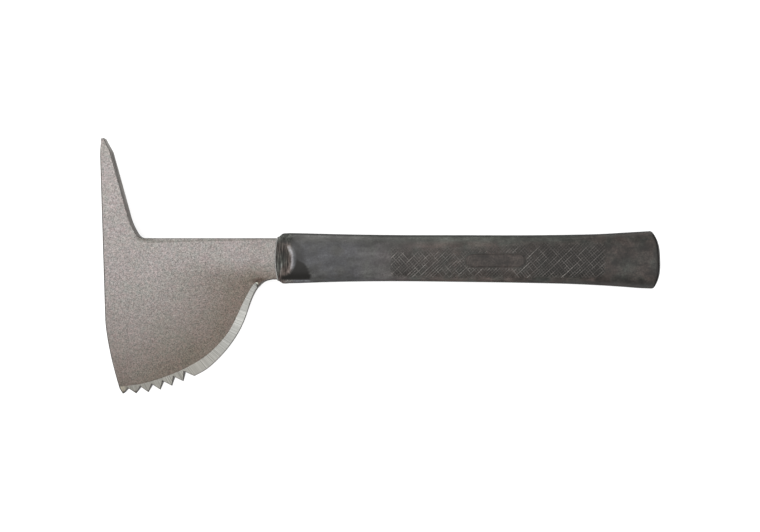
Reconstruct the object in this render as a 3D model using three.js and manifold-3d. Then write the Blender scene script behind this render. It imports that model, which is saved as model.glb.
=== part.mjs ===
// A one-hand crash and roofing hatchet: a flat steel head with a pick, a bevelled saw-toothed blade, a neck
// and a tang, and a moulded rubber grip stretched over two core halves that are riveted to the tang.
// Millimetres, +Z up, the tool lying on its side: +X along the handle to the butt, +Y from the blade to the
// pick. The drawing below has its zero on the handle's axis at the grip's mouth, in the plate's mid-plane;
// the last lines move it so that the origin is under the middle of the tool, on what it lies on.
import * as THREE from "three";
import { mergeVertices } from "three/addons/utils/BufferGeometryUtils.js";
import Module from "manifold-3d";

// Driving dimensions.
const PLATE = 7.94; // five-sixteenths plate
const FACE = PLATE / 2; // height of either face above the mid-plane
const EDGE_CHAMFER = 0.7; // broken edge all round the plate
const GAP = 0.3; // clearance between two pieces that touch

const NECK_TOP = 13.65;
const NECK_BOTTOM = 14.3;
const SHOULDER = 14; // where the neck steps down to the tang, inside the grip
const TANG_HALF = 9.5; // half the tang's height
const TANG_END = 222;
const OUTLINE_STEPS = 44; // along the smooth part of the cutting edge

const TOOTH_COUNT = 6;
const TOOTH_PITCH = 8.3; // along the cutting edge
const TOOTH_DEPTH = 5;
const TOOTH_ROOT = 0.42; // place of the root between two tips, as a share of the pitch
const EDGE_LAND = 1.2; // thickness left on the cutting edge

const GRIP_END = 259.6; // crown of the butt
const BUTT_SAG = 4.6; // how far the butt's rim lies in front of its crown, at its top and bottom
const BUTT_SIDE_SAG = 5.4; // the same at its sides
const BUTT_RAKE = 0.036; // lean of the butt's end, mm per mm of height
const CORE_START = SHOULDER + GAP;
const CORE_END = 231;
const CORE_HALF_HEIGHT = 12;
const CORE_HALF_THICKNESS = 8.6;

const RIVET_PLACES = [40, 118, 196]; // along the tang
const RIVET_RADIUS = 3;
const RIVET_HEAD_RADIUS = 5;
const RIVET_HEAD_HEIGHT = 1.6;
const RIVET_HALF_LENGTH = 7.9;

const CUT = 30; // reach of a cutting tool beyond the material

// Materials.
const steel = new THREE.MeshStandardMaterial({ color: 0x9c948f, roughness: 0.55, metalness: 0.85 });
const rubber = new THREE.MeshStandardMaterial({ color: 0x4a4848, roughness: 0.65, metalness: 0 });
const nylon = new THREE.MeshStandardMaterial({ color: 0xb9b4a4, roughness: 0.6, metalness: 0 });
const rivetSteel = new THREE.MeshStandardMaterial({ color: 0xb4b6b8, roughness: 0.35, metalness: 1 });
const sealant = new THREE.MeshStandardMaterial({ color: 0xb2b0aa, roughness: 0.5, metalness: 0 });

const manifold = await Module();
manifold.setup();

// A closed three.js geometry as a solid that can be cut and joined.
function solid(geometry) {
  const bare = geometry.clone();
  bare.deleteAttribute("normal");
  bare.deleteAttribute("uv");
  const merged = mergeVertices(bare, 1e-3);
  return new manifold.Manifold(
    new manifold.Mesh({
      numProp: 3,
      vertProperties: new Float32Array(merged.attributes.position.array),
      triVerts: new Uint32Array(merged.index.array),
    }),
  );
}

// A cut or joined solid back as a named three.js mesh.
function meshOf(name, shape, material) {
  const { vertProperties, triVerts } = shape.getMesh();
  const geometry = new THREE.BufferGeometry();
  geometry.setAttribute("position", new THREE.BufferAttribute(new Float32Array(vertProperties), 3));
  geometry.setIndex(new THREE.BufferAttribute(new Uint32Array(triVerts), 1));
  geometry.computeVertexNormals();
  const mesh = new THREE.Mesh(geometry, material);
  mesh.name = name;
  return mesh;
}

// A closed skin through rings that all have the same number of points, capped by a fan at both ends.
// Each ring runs anticlockwise as seen from the last ring.
function loft(rings) {
  const count = rings[0].length;
  const centre = (ring) =>
    ring.reduce((sum, point) => sum.add(point), new THREE.Vector3()).divideScalar(count);
  const points = [...rings.flat(), centre(rings[0]), centre(rings.at(-1))];
  const lastRing = (rings.length - 1) * count;
  const [firstHub, lastHub] = [points.length - 2, points.length - 1];
  const faces = [];
  for (let i = 0; i < count; i++) {
    const next = (i + 1) % count;
    faces.push(firstHub, next, i, lastHub, lastRing + i, lastRing + next);
    for (let row = 0; row < lastRing; row += count)
      faces.push(row + i, row + next, row + count + next, row + i, row + count + next, row + count + i);
  }
  return new THREE.BufferGeometry().setFromPoints(points).setIndex(faces);
}

function box(xLow, xHigh, yLow, yHigh, zLow, zHigh) {
  const geometry = new THREE.BoxGeometry(xHigh - xLow, yHigh - yLow, zHigh - zLow);
  return geometry.translate((xLow + xHigh) / 2, (yLow + yHigh) / 2, (zLow + zHigh) / 2);
}

function post(x, radius, zLow, zHigh) {
  const geometry = new THREE.CylinderGeometry(radius, radius, zHigh - zLow, 24).rotateX(Math.PI / 2);
  return geometry.translate(x, 0, (zLow + zHigh) / 2);
}

// ---- Steel head ----

const spline = (...points) => new THREE.SplineCurve(points.map(([x, y]) => new THREE.Vector2(x, y)));

// The cutting edge, from the toe tooth round the belly and up to the neck.
const cuttingEdge = spline(
  [-103.4, -91.5], [-95.3, -91.6], [-87.3, -90.8], [-79.4, -89.2], [-71.4, -86.6], [-63.7, -83.5],
  [-56.2, -80.1], [-46.2, -74.3], [-35.4, -63.8], [-27.2, -52.7], [-21.8, -42.1], [-16.7, -27.8],
  [-13.2, -20.1], [-8.6, -15.7], [-2.7, -NECK_BOTTOM],
);
const EDGE_LENGTH = cuttingEdge.getLength();

// A point at a distance along the cutting edge, moved inwards by inset.
function edgePoint(distance, inset = 0) {
  const share = distance / EDGE_LENGTH;
  const along = cuttingEdge.getTangentAt(share);
  return cuttingEdge.getPointAt(share).add(new THREE.Vector2(-along.y, along.x).multiplyScalar(inset));
}

function headOutline() {
  const shape = new THREE.Shape();
  const lineTo = (point) => shape.lineTo(point.x, point.y);
  // Front edge, from the pick's tip down to the toe tooth.
  shape.moveTo(-118.6, 73);
  shape.lineTo(-115, -42);
  shape.quadraticCurveTo(-113.4, -61.5, -105.3, -88);
  shape.lineTo(-103.4, -91.5);
  // Saw teeth, then the smooth belly.
  for (let tooth = 0; tooth < TOOTH_COUNT; tooth++) {
    lineTo(edgePoint((tooth + TOOTH_ROOT) * TOOTH_PITCH, TOOTH_DEPTH));
    lineTo(edgePoint((tooth + 1) * TOOTH_PITCH));
  }
  const smoothStart = TOOTH_COUNT * TOOTH_PITCH;
  for (let step = 1; step <= OUTLINE_STEPS; step++)
    lineTo(edgePoint(smoothStart + ((EDGE_LENGTH - smoothStart) * step) / OUTLINE_STEPS));
  // Neck, shoulder and tang.
  shape.lineTo(SHOULDER, -NECK_BOTTOM);
  shape.lineTo(SHOULDER, -TANG_HALF);
  shape.absarc(TANG_END - TANG_HALF, 0, TANG_HALF, -Math.PI / 2, Math.PI / 2);
  shape.lineTo(SHOULDER, TANG_HALF);
  shape.lineTo(SHOULDER, NECK_TOP);
  // Top edge, the throat under the pick, and the pick.
  shape.lineTo(-87.8, NECK_TOP);
  shape.bezierCurveTo(-92.3, NECK_TOP, -93.8, 15.4, -95.6, 18.8);
  shape.quadraticCurveTo(-98, 22.8, -99.5, 27.7);
  shape.lineTo(-111.1, 69.8);
  shape.quadraticCurveTo(-111.5, 72.4, -112.7, 74.3);
  shape.lineTo(-116.5, 81.5);
  shape.lineTo(-118.1, 81.2);
  return shape;
}

// A wedge that grinds a bevel: its sloping face runs from the line "inner" on the plate's face down to the
// line "outer", where it leaves half of "land" above the mid-plane. It reaches a little past both lines.
// Both lines run the same way, with "outer" on the right.
function bevelWedge(inner, outer, stations, land) {
  const drop = FACE - land / 2;
  const rings = [];
  for (let station = 0; station <= stations; station++) {
    const from = inner.getPointAt(station / stations);
    const to = outer.getPointAt(station / stations);
    const at = (share) => new THREE.Vector2().lerpVectors(from, to, share);
    const [back, front] = [at(-0.1), at(1.2)];
    rings.push([
      new THREE.Vector3(back.x, back.y, FACE + CUT),
      new THREE.Vector3(front.x, front.y, FACE + CUT),
      new THREE.Vector3(front.x, front.y, FACE - 1.2 * drop),
      new THREE.Vector3(back.x, back.y, FACE + 0.1 * drop),
    ]);
  }
  return solid(loft(rings));
}

function bothSides(wedge) {
  return wedge.add(wedge.mirror([0, 0, 1]));
}

function bladeBevel() {
  const inner = spline(
    [-112, -87.2], [-101.6, -85.3], [-90.3, -83], [-78.7, -79.6], [-67.1, -74.9], [-58.9, -71.1],
    [-50.7, -66.4], [-43.7, -61], [-36.9, -54.5], [-32.3, -48.8], [-28.2, -41.8], [-22.9, -31.3],
    [-16.9, -20.5], [-14.8, -17.5], [-13.6, -17.3],
  );
  const outer = spline(
    [-112, -91.4], [-103.4, -91.6], [-95.3, -91.7], [-79.4, -89.3], [-63.7, -83.6],
    [-56.2, -80.2], [-46.2, -74.4], [-35.4, -63.9], [-27.2, -52.8], [-21.8, -42.2], [-16.7, -27.9],
    [-13.3, -20.3], [-12.6, -19],
  );
  return bothSides(bevelWedge(inner, outer, 60, EDGE_LAND));
}

function makeHead() {
  const plate = new THREE.ExtrudeGeometry(headOutline(), {
    depth: PLATE - 2 * EDGE_CHAMFER,
    bevelThickness: EDGE_CHAMFER,
    bevelSize: EDGE_CHAMFER,
    bevelOffset: -EDGE_CHAMFER,
    bevelSegments: 1,
    curveSegments: 10,
  }).translate(0, 0, EDGE_CHAMFER - FACE);
  let head = solid(plate).subtract(bladeBevel());
  for (const x of RIVET_PLACES) head = head.subtract(solid(post(x, RIVET_RADIUS + GAP, -CUT, CUT)));
  return meshOf("blade_head", head, steel);
}

// ---- Sections round the handle ----

// How far the domed butt lies behind its crown, at shares of the section's half height and half thickness.
function buttSag(height, side) {
  return BUTT_SAG * Math.abs(height) ** 2.4 + BUTT_SIDE_SAG * Math.abs(side) ** 1.7;
}

// One ring round the handle, whose section is "share" times its full size. "power" is 2 for an ellipse and
// more for a squarer section, "bow" moves the top and bottom along the handle, and "dome" is how much the
// ring follows the butt's dome.
function handleRing({ x, top, bottom, side, power, share = 1, bow = 0, dome = 0 }, count) {
  const ring = [];
  for (let i = 0; i < count; i++) {
    const angle = (2 * Math.PI * i) / count;
    const [up, out] = [Math.cos(angle), Math.sin(angle)];
    const reach = share / (Math.abs(up) ** power + Math.abs(out) ** power) ** (1 / power);
    const y = up * reach * (up > 0 ? top : bottom);
    const sag = buttSag(up * reach, out * reach) + BUTT_RAKE * y;
    ring.push(new THREE.Vector3(x + bow * (up * reach) ** 2 - dome * sag, y, out * reach * side));
  }
  return ring;
}

// ---- Core halves and rivets, under the rubber ----

// The outside of the two core halves together, grown by a clearance.
function coreSolid(grow = 0) {
  const nose = 6; // length of the rounded end
  const section = (x, share) => ({
    x,
    top: CORE_HALF_HEIGHT * share + grow,
    bottom: CORE_HALF_HEIGHT * share + grow,
    side: CORE_HALF_THICKNESS * share + grow,
    power: 2.6,
  });
  const rings = [section(CORE_START - grow, 1), section(CORE_END - nose, 1)];
  for (const share of [0.3, 0.55, 0.75, 0.9, 1])
    rings.push(section(CORE_END - nose + (nose + grow) * share, Math.sqrt(1 - 0.6 * share ** 2)));
  return solid(loft(rings.map((ring) => handleRing(ring, 40))));
}

function makeCoreHalf(name, sign) {
  const half = sign > 0 ? [GAP / 2, CUT] : [-CUT, -GAP / 2];
  let core = coreSolid().intersect(solid(box(0, CORE_END + CUT, -CUT, CUT, ...half)));
  const slot = solid(box(0, TANG_END + GAP, -TANG_HALF - GAP, TANG_HALF + GAP, -FACE - GAP, FACE + GAP));
  core = core.subtract(slot);
  const seat = RIVET_HALF_LENGTH - RIVET_HEAD_HEIGHT - GAP;
  for (const x of RIVET_PLACES) {
    core = core.subtract(solid(post(x, RIVET_RADIUS + GAP, -CUT, CUT)));
    core = core.subtract(solid(sign > 0
      ? post(x, RIVET_HEAD_RADIUS + GAP, seat, CUT)
      : post(x, RIVET_HEAD_RADIUS + GAP, -CUT, -seat)));
  }
  return meshOf(name, core, nylon);
}

function makeRivet(name, x) {
  const headBase = RIVET_HALF_LENGTH - RIVET_HEAD_HEIGHT;
  const half = [
    [RIVET_RADIUS, headBase],
    [RIVET_HEAD_RADIUS, headBase],
    [RIVET_HEAD_RADIUS, headBase + 0.7],
    [RIVET_HEAD_RADIUS * 0.7, RIVET_HALF_LENGTH - 0.25],
    [0, RIVET_HALF_LENGTH],
  ];
  const lower = half.map(([radius, height]) => new THREE.Vector2(radius, -height)).reverse();
  const upper = half.map(([radius, height]) => new THREE.Vector2(radius, height));
  const mesh = new THREE.Mesh(new THREE.LatheGeometry([...lower, ...upper], 24), rivetSteel);
  mesh.name = name;
  mesh.rotation.x = Math.PI / 2;
  mesh.position.x = x;
  return mesh;
}

// ---- Rubber grip ----

// Half heights above and below the axis and half thickness, at places along the handle.
const GRIP_PLACES = [6, 15, 45, 80, 125, 170, 200, 220, 236, 246, 256];
const GRIP_SIZES = [
  [17.1, 17.1, 12.2], [17.2, 16.7, 12.3], [16.4, 15.85, 12.0], [15.75, 15.4, 11.6], [15.65, 15.8, 11.5],
  [15.6, 16.5, 11.7], [15.95, 17.2, 12.1], [16.5, 18.15, 12.8], [17.35, 19.2, 13.5], [17.95, 20.0, 13.9],
  [18.5, 20.4, 14.1],
];
const gripSize = new THREE.CubicInterpolant(GRIP_PLACES, GRIP_SIZES.flat(), 3);
const GRIP_POWER = 2.7;
const RIM_PLACE = GRIP_END - BUTT_SAG;

// The full section at x, with the sizes that belong to place.
function gripStation(x, place = x) {
  const [top, bottom, side] = gripSize.evaluate(place);
  return { x, top, bottom, side, power: GRIP_POWER };
}

// The mouth wraps the neck closely, and the rubber rises from it in a dished slope to the full section.
// The mouth's middle bows towards the head, and the slope's upper end bows away from it.
const GRIP_MOUTH = [
  { x: 0.4, top: 14.7, bottom: 15.3, side: 5.3, power: 10, bow: 2 },
  { x: 1.0, top: 15.3, bottom: 15.85, side: 5.9, power: 7, bow: 1.9 },
  { x: 2.8, top: 15.9, bottom: 16.3, side: 6.7, power: 4.8, bow: 0.7 },
  { x: 5.3, top: 16.4, bottom: 16.7, side: 7.9, power: 4, bow: -1.4 },
  { x: 8.2, top: 16.75, bottom: 17.0, side: 9.8, power: 3.3, bow: -3.7 },
  { x: 10.4, top: 17.0, bottom: 17.1, side: 11.7, power: 2.9, bow: -5.2 },
  { x: 11.8, top: 17.1, bottom: 17.1, side: 12.3, power: 2.7, bow: -5.8 },
];

function gripSkin() {
  const rings = [...GRIP_MOUTH];
  const [bodyStart, bodyEnd, steps] = [15, GRIP_END - 1, 24];
  for (let step = 0; step <= steps; step++) {
    const share = step / steps;
    const x = THREE.MathUtils.lerp(bodyStart, bodyEnd, share);
    const dome = share ** 6;
    rings.push({ ...gripStation(x, x - BUTT_SAG * dome), bow: -6 * (1 - share) ** 6, dome });
  }
  // The domed butt, from its narrow rounded rim to its crown.
  const rim = gripStation(GRIP_END, RIM_PLACE);
  rings.push({ ...rim, x: GRIP_END - 0.2, share: 0.99, dome: 1 });
  for (const share of [0.96, 0.8, 0.6, 0.4, 0.2]) rings.push({ ...rim, share, dome: 1 });
  return loft(rings.map((ring) => handleRing(ring, 48)));
}

function neckPassage(reach) {
  return solid(box(-CUT, reach, -NECK_BOTTOM - GAP, NECK_TOP + GAP, -FACE - GAP, FACE + GAP));
}

function makeGrip() {
  const grip = solid(gripSkin()).subtract(coreSolid(GAP)).subtract(neckPassage(CORE_START));
  return meshOf("rubber_grip", grip, rubber);
}

// The bead of adhesive that seals the mouth against the neck.
function makeBead() {
  const bead = [
    { x: -0.8, top: 14.3, bottom: 14.95, side: 4.7, power: 16, bow: 2 },
    { x: -0.4, top: 14.55, bottom: 15.2, side: 4.95, power: 14, bow: 2 },
    { x: 0.1, top: 14.65, bottom: 15.3, side: 5.1, power: 12, bow: 2 },
  ];
  const ring = solid(loft(bead.map((section) => handleRing(section, 48)))).subtract(neckPassage(CUT));
  return meshOf("mouth_bead", ring, sealant);
}

// ---- Assembly ----

const hatchet = new THREE.Group();
hatchet.add(makeHead());
hatchet.add(makeCoreHalf("core_half_upper", 1));
hatchet.add(makeCoreHalf("core_half_lower", -1));
RIVET_PLACES.forEach((x, i) => hatchet.add(makeRivet(`tang_rivet_${i + 1}`, x)));
hatchet.add(makeGrip());
hatchet.add(makeBead());

const extent = new THREE.Box3().setFromObject(hatchet);
const middle = extent.getCenter(new THREE.Vector3());
hatchet.position.set(-middle.x, -middle.y, -extent.min.z);

export default hatchet;
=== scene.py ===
"""The finished looks of a pick-headed hatchet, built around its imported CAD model.

The shapes are worked out in millimetres on the part's own drawing: x runs along the handle towards the
butt, y towards the pick, z off the plate, and zero is on the handle's axis at the grip's mouth. placed()
then moves them to where the CAD nodes are, in metres.
"""
import math

import bpy
import numpy as np
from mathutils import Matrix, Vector
from mathutils.bvhtree import BVHTree
from mathutils.geometry import delaunay_2d_cdt
from numpy.linalg import norm


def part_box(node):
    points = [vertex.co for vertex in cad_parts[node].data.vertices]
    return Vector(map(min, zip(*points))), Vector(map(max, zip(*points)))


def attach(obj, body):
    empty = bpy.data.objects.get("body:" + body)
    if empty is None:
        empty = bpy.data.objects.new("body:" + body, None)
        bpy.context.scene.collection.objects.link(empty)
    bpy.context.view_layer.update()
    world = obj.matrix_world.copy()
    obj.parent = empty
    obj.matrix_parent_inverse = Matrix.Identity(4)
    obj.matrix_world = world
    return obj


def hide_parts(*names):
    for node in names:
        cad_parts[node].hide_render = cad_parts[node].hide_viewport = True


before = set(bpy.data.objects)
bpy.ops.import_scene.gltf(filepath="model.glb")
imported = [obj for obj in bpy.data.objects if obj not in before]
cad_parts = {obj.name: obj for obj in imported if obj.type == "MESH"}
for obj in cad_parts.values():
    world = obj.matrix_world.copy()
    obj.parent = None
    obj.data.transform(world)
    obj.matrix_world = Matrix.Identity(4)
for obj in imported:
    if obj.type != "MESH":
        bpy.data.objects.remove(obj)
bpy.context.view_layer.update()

MM = 0.001

# ---- The part's driving sizes, in mm ----

NECK_TOP = 13.65  # above the handle's axis
NECK_BOTTOM = 14.3  # below it
SHOULDER = 14  # where the neck steps down to the tang
TANG_HALF = 9.5
TANG_END = 222
TOOTH_PITCH = 8.3
TOOTH_DEPTHS = (4, 4.8, 5.2, 5.4, 5.6, 6.0)
TOOTH_ROOTS = (0.42, 0.49, 0.5, 0.5, 0.5, 0.48)  # place of each gap's root between two teeth
EDGE_LAND = 1.2  # thickness left at the cutting edge
GAP = 0.3  # between a part and what it lies in
CORE_START = SHOULDER + GAP
CORE_END = 231
CORE_NOSE = 6
CORE_HALF_HEIGHT = 12
CORE_HALF_THICKNESS = 8.6
GRIP_END = 259.6
GRIP_START = 15.5
CROWN_END = GRIP_END - 0.055  # keeps the crown inside the CAD part's box
RIM_RADIUS = 0.6  # rounding of the butt's rim
RIM_SHARE = 0.024  # how far the rim's rounding pulls in, as a share of the section
BUTT_SAG = 5.5
BUTT_SAG_POWER = 2.9
BUTT_SIDE_SAG = 5.4
BUTT_SIDE_POWER = 1.7
BUTT_RAKE = 0.036
GRIP_POWER = 2.7  # squareness of the grip's sections
CORE_POWER = 2.6
RIVETS = ("tang_rivet_1", "tang_rivet_2", "tang_rivet_3")
CORES = ("core_half_upper", "core_half_lower")

# ---- Where the drawing lies in the frame ----

head_low, head_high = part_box("blade_head")
core_low, core_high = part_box("core_half_upper")
grip_low, grip_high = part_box("rubber_grip")
FACE = (head_high.z - head_low.z) / 2 / MM  # height of either face above the plate's mid-plane
GRIP_HALF = (grip_high.z - grip_low.z) / 2 / MM  # the grip's greatest half thickness
ZERO = np.array([
    core_low.x - CORE_START * MM,
    (core_low.y + core_high.y) / 2,
    (head_low.z + head_high.z) / 2,
])


def placed(points):
    """Points of the drawing, in mm, as points of the frame, in metres."""
    return np.asarray(points, float) * MM + ZERO


def middle_of(node):
    """The middle of a CAD node's box, on the drawing."""
    low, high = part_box(node)
    return (np.array((low + high) / 2) - ZERO) / MM


def smooth(share):
    """0 to 1, with no corner at either end."""
    share = np.clip(share, 0, 1)
    return share * share * (3 - 2 * share)


def rise(value, start, end):
    """0 where the value is at start, growing to 1 at end, with no corner at either."""
    return smooth((value - start) / (end - start))


def in_scene(name, data):
    """A new object that shows the data."""
    made = bpy.data.objects.new(name, data)
    bpy.context.scene.collection.objects.link(made)
    return made


def add_piece(name, points, faces, materials, node=None, kinds=None, values=None, sharp=180):
    """A mesh in the frame that rides on the hatchet's only body and may stand for a CAD node.

    kinds tells each face's material. values holds numbers for the points, and if there are fewer numbers
    than points they repeat. An edge that bends more than sharp degrees isn't smoothed.
    """
    mesh = bpy.data.meshes.new(name)
    mesh.from_pydata(placed(points).tolist(), [], faces)
    for material in materials:
        mesh.materials.append(material)
    if kinds is not None:
        mesh.polygons.foreach_set("material_index", kinds)
    for label, numbers in (values or {}).items():
        attribute = mesh.attributes.new(label, "FLOAT", "POINT")
        attribute.data.foreach_set("value", np.resize(numbers, len(points)).astype(np.float32))
    mesh.validate()
    mesh.shade_smooth()
    if sharp < 180:
        mesh.set_sharp_from_angle(angle=math.radians(sharp))
    piece = in_scene(name, mesh)
    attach(piece, "root")
    if node:
        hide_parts(node)


# ---- Materials ----

EDGE_SHADE_WIDTH = 1.0  # of the painted shade along the neck's top edge, at the grip's mouth
EDGE_SHADE_SLANT = 0.022  # how fast the painted shade widens towards the pick
SHADOW_PLACE = (-11, -15)  # middle of the painted shadow at the bevel's end
SHADOW_REACH = (8, 3)  # its half length and half height
TIP_DARKENING = (-90.6, -89.0)  # the heights between which the darkening of the teeth's tips fades out
GLOSSES = (0.12, 0.09, 0.065, 0.045, 0.03, 0.02)  # specular level, from the grip's faces to its sides
WHITE = (1, 1, 1)


class Look:
    """A Principled material with short calls for the nodes that feed it."""

    def __init__(self, name, **sockets):
        self.material = bpy.data.materials.new(name)
        self.material.use_nodes = True
        self.tree = self.material.node_tree
        self.surface = self.tree.nodes["Principled BSDF"]
        self.place = self.tree.nodes.new("ShaderNodeTexCoord").outputs["Object"]
        for socket, value in sockets.items():
            self.surface.inputs[socket.replace("_", " ")].default_value = value

    def node(self, kind, inputs=None, **settings):
        made = self.tree.nodes.new(kind)
        for key, value in settings.items():
            setattr(made, key, value)
        for key, value in (inputs or {}).items():
            self.feed(made.inputs[key], value)
        return made

    def feed(self, socket, value):
        if isinstance(value, bpy.types.NodeSocket):
            self.tree.links.new(value, socket)
        else:
            socket.default_value = value

    def value(self, attribute):
        """A number that the mesh carries at each vertex."""
        return self.node("ShaderNodeAttribute", attribute_name=attribute).outputs["Fac"]

    def along(self, axis):
        """The place along one axis of the frame, in metres."""
        return self.node("ShaderNodeSeparateXYZ", {"Vector": self.place}).outputs[axis]

    def noise(self, size, detail=2.0, roughness=0.5, stretch=(1, 1, 1), place=None):
        """Noise with features about size mm across, stretched along the axes."""
        scaled = self.node("ShaderNodeMapping", {
            "Vector": place or self.place,
            "Scale": tuple(1 / (MM * size * part) for part in stretch),
        })
        return self.node("ShaderNodeTexNoise", {
            "Vector": scaled.outputs["Vector"],
            "Scale": 1.0,
            "Detail": detail,
            "Roughness": roughness,
        }).outputs["Fac"]

    def spread(self, value, low, high, to_low=0.0, to_high=1.0, curve="LINEAR"):
        """value, from low to high, as a number from to_low to to_high."""
        return self.node("ShaderNodeMapRange", {
            "Value": value,
            "From Min": low,
            "From Max": high,
            "To Min": to_low,
            "To Max": to_high,
        }, interpolation_type=curve).outputs["Result"]

    def ramp(self, axis, low, high, to_low=0.0, to_high=1.0, curve="LINEAR"):
        """A number that changes along one axis, between two places in mm on the drawing."""
        zero = ZERO["XYZ".index(axis)]
        return self.spread(self.along(axis), zero + low * MM, zero + high * MM, to_low, to_high, curve)

    def combine(self, first, second, operation="MULTIPLY"):
        """Two numbers made into one, multiplied unless another operation is named."""
        made = self.node("ShaderNodeMath", operation=operation)
        self.feed(made.inputs[0], first)
        self.feed(made.inputs[1], second)
        return made.outputs[0]

    def grown(self, value, change):
        """The number made larger by change, which is a share of it."""
        return self.combine(value, self.combine(change, 1.0, "ADD"))

    def blend(self, share, first, second, mode="MIX"):
        """The first colour where share is 0 and the second where it is 1."""
        made = self.node("ShaderNodeMix", data_type="RGBA", blend_type=mode)
        self.feed(made.inputs["Factor"], share)
        for socket, colour in ((made.inputs[6], first), (made.inputs[7], second)):
            self.feed(socket, colour if isinstance(colour, bpy.types.NodeSocket) else (*colour, 1))
        return made.outputs[2]

    def tinted(self, colour, tint, share=None):
        """The colour multiplied by a tint, where share is 1 or everywhere if there is no share."""
        if share is not None:
            tint = self.blend(share, WHITE, tint)
        return self.blend(1.0, colour, tint, mode="MULTIPLY")

    def bump(self, height, depth, before=None):
        """A bump of depth mm, over another one if there is one before it."""
        inputs = {"Height": height, "Distance": depth * MM}
        if before is not None:
            inputs["Normal"] = before
        return self.node("ShaderNodeBump", inputs).outputs["Normal"]

    def finish(self, *sources):
        """The material, with its colour, roughness and normal fed by these sources."""
        for socket, source in zip(("Base Color", "Roughness", "Normal"), sources):
            self.tree.links.new(source, self.surface.inputs[socket])
        return self.material


def neck_edge_shade(look):
    """1 in the painted shade, a darker band along the neck's top edge, which narrows towards the grip."""
    level = look.combine(look.along("Y"), look.combine(look.along("X"), EDGE_SHADE_SLANT), "SUBTRACT")
    border = ZERO[1] - EDGE_SHADE_SLANT * ZERO[0] + (NECK_TOP - EDGE_SHADE_WIDTH) * MM
    below = look.spread(level, border - 0.4 * MM, border)
    above = look.spread(level, border + 2.3 * MM, border)
    return look.combine(look.combine(below, above), look.ramp("X", -93, -85))


def throat_shade(look):
    """1 in the painted shade in the corner between the pick and the neck."""
    along = look.combine(look.ramp("X", -94.5, -92), look.ramp("X", -80, -85))
    return look.combine(along, look.ramp("Y", 11.5, 12.3))


def bevel_end_shadow(look):
    """1 in the middle of the painted shadow at the bevel's end."""
    scale = [1 / (reach * MM) for reach in SHADOW_REACH]
    shift = [-(zero + place * MM) * size for zero, place, size in zip(ZERO, SHADOW_PLACE, scale)]
    spot = look.node("ShaderNodeMapping", {
        "Vector": look.place,
        "Location": (*shift, 0),
        "Scale": (*scale, 0),
    }).outputs["Vector"]
    reach = look.node("ShaderNodeVectorMath", {"Vector": spot}, operation="LENGTH").outputs["Value"]
    return look.spread(reach, 0.1, 1.0, 1.0, 0.0, curve="SMOOTHSTEP")


def blasted_steel():
    """The head's flat sides: a fine speckle and faint broad clouds, with painted shade that makes them
    darker and browner by the bevel.
    """
    look = Look("blasted_steel", Metallic=1.0)
    grain = look.noise(0.85, roughness=0.7)
    clouds = look.noise(26, detail=3.0)
    warmth = look.spread(look.noise(1.7, detail=3.0, roughness=0.7), 0.35, 0.65)
    pale = look.blend(warmth, (0.176, 0.176, 0.171), (0.194, 0.174, 0.169))
    dark = look.blend(warmth, (0.063, 0.062, 0.060), (0.072, 0.062, 0.060))
    speckled = look.blend(look.spread(grain, 0.25, 0.75), dark, pale)
    stains = look.spread(look.noise(11, detail=4.0, roughness=0.6), 0.38, 0.62)
    stained = look.blend(stains, (0.98, 1.0, 0.983), (1.02, 0.993, 1.006))
    shade = look.blend(look.spread(clouds, 0.3, 0.7), (0.93, 0.92, 0.91), WHITE)
    colour = look.tinted(speckled, look.tinted(shade, stained))
    # Painted shade: darker and browner towards the bevel.
    colour = look.tinted(colour, (0.56, 0.51, 0.452), look.value("bevel_side_shade"))
    # Painted shade along the neck's top edge.
    colour = look.tinted(colour, (0.7, 0.72, 0.69), neck_edge_shade(look))
    # Painted shade in the corner between the pick and the neck.
    colour = look.tinted(colour, (0.6, 0.59, 0.57), throat_shade(look))
    # Painted shadow round the bevel's top end.
    colour = look.tinted(colour, (0.47, 0.44, 0.41), bevel_end_shadow(look))
    rough = look.spread(look.noise(1.6), 0.3, 0.7, 0.5, 0.64)
    pitted = look.bump(grain, 0.03)
    return look.finish(colour, rough, look.bump(clouds, 0.08, before=pitted))


def ground_steel():
    """The bevel: bright, with grinding lines across the edge, dull at its front end and darker on the
    teeth's tips, with painted shadow at its top end.
    """
    look = Look("ground_steel", Metallic=1.0)
    along = look.value("grind_run")
    run = look.node("ShaderNodeCombineXYZ", {"X": along}).outputs["Vector"]
    fine = look.noise(0.7, roughness=0.7, place=run)
    broad = look.noise(4.5, detail=3.0, roughness=0.7, place=run)
    lines = look.combine(look.combine(fine, 0.78), look.combine(broad, 0.22), "ADD")
    bright = look.blend(look.spread(lines, 0.34, 0.66), (0.145, 0.147, 0.14), (0.375, 0.377, 0.36))
    lower = look.spread(along, 0.092, 0.056, curve="SMOOTHSTEP")
    front = look.spread(along, 0.014, 0.009)
    # Painted shadow: darker at the bevel's top end.
    end = look.spread(along, (bevel_crease.length - 3) * MM, (bevel_crease.length - 1.3) * MM)
    tips = look.ramp("Y", *TIP_DARKENING[::-1])
    colour = look.tinted(bright, (0.97, 0.95, 0.92), lower)
    colour = look.tinted(colour, (0.55, 0.52, 0.46), front)
    colour = look.tinted(colour, (0.5, 0.5, 0.45), end)
    colour = look.tinted(colour, (0.25, 0.23, 0.2), tips)
    rough = look.spread(fine, 0.3, 0.7, 0.34, 0.48)
    return look.finish(colour, rough, look.bump(lines, 0.04))


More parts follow.
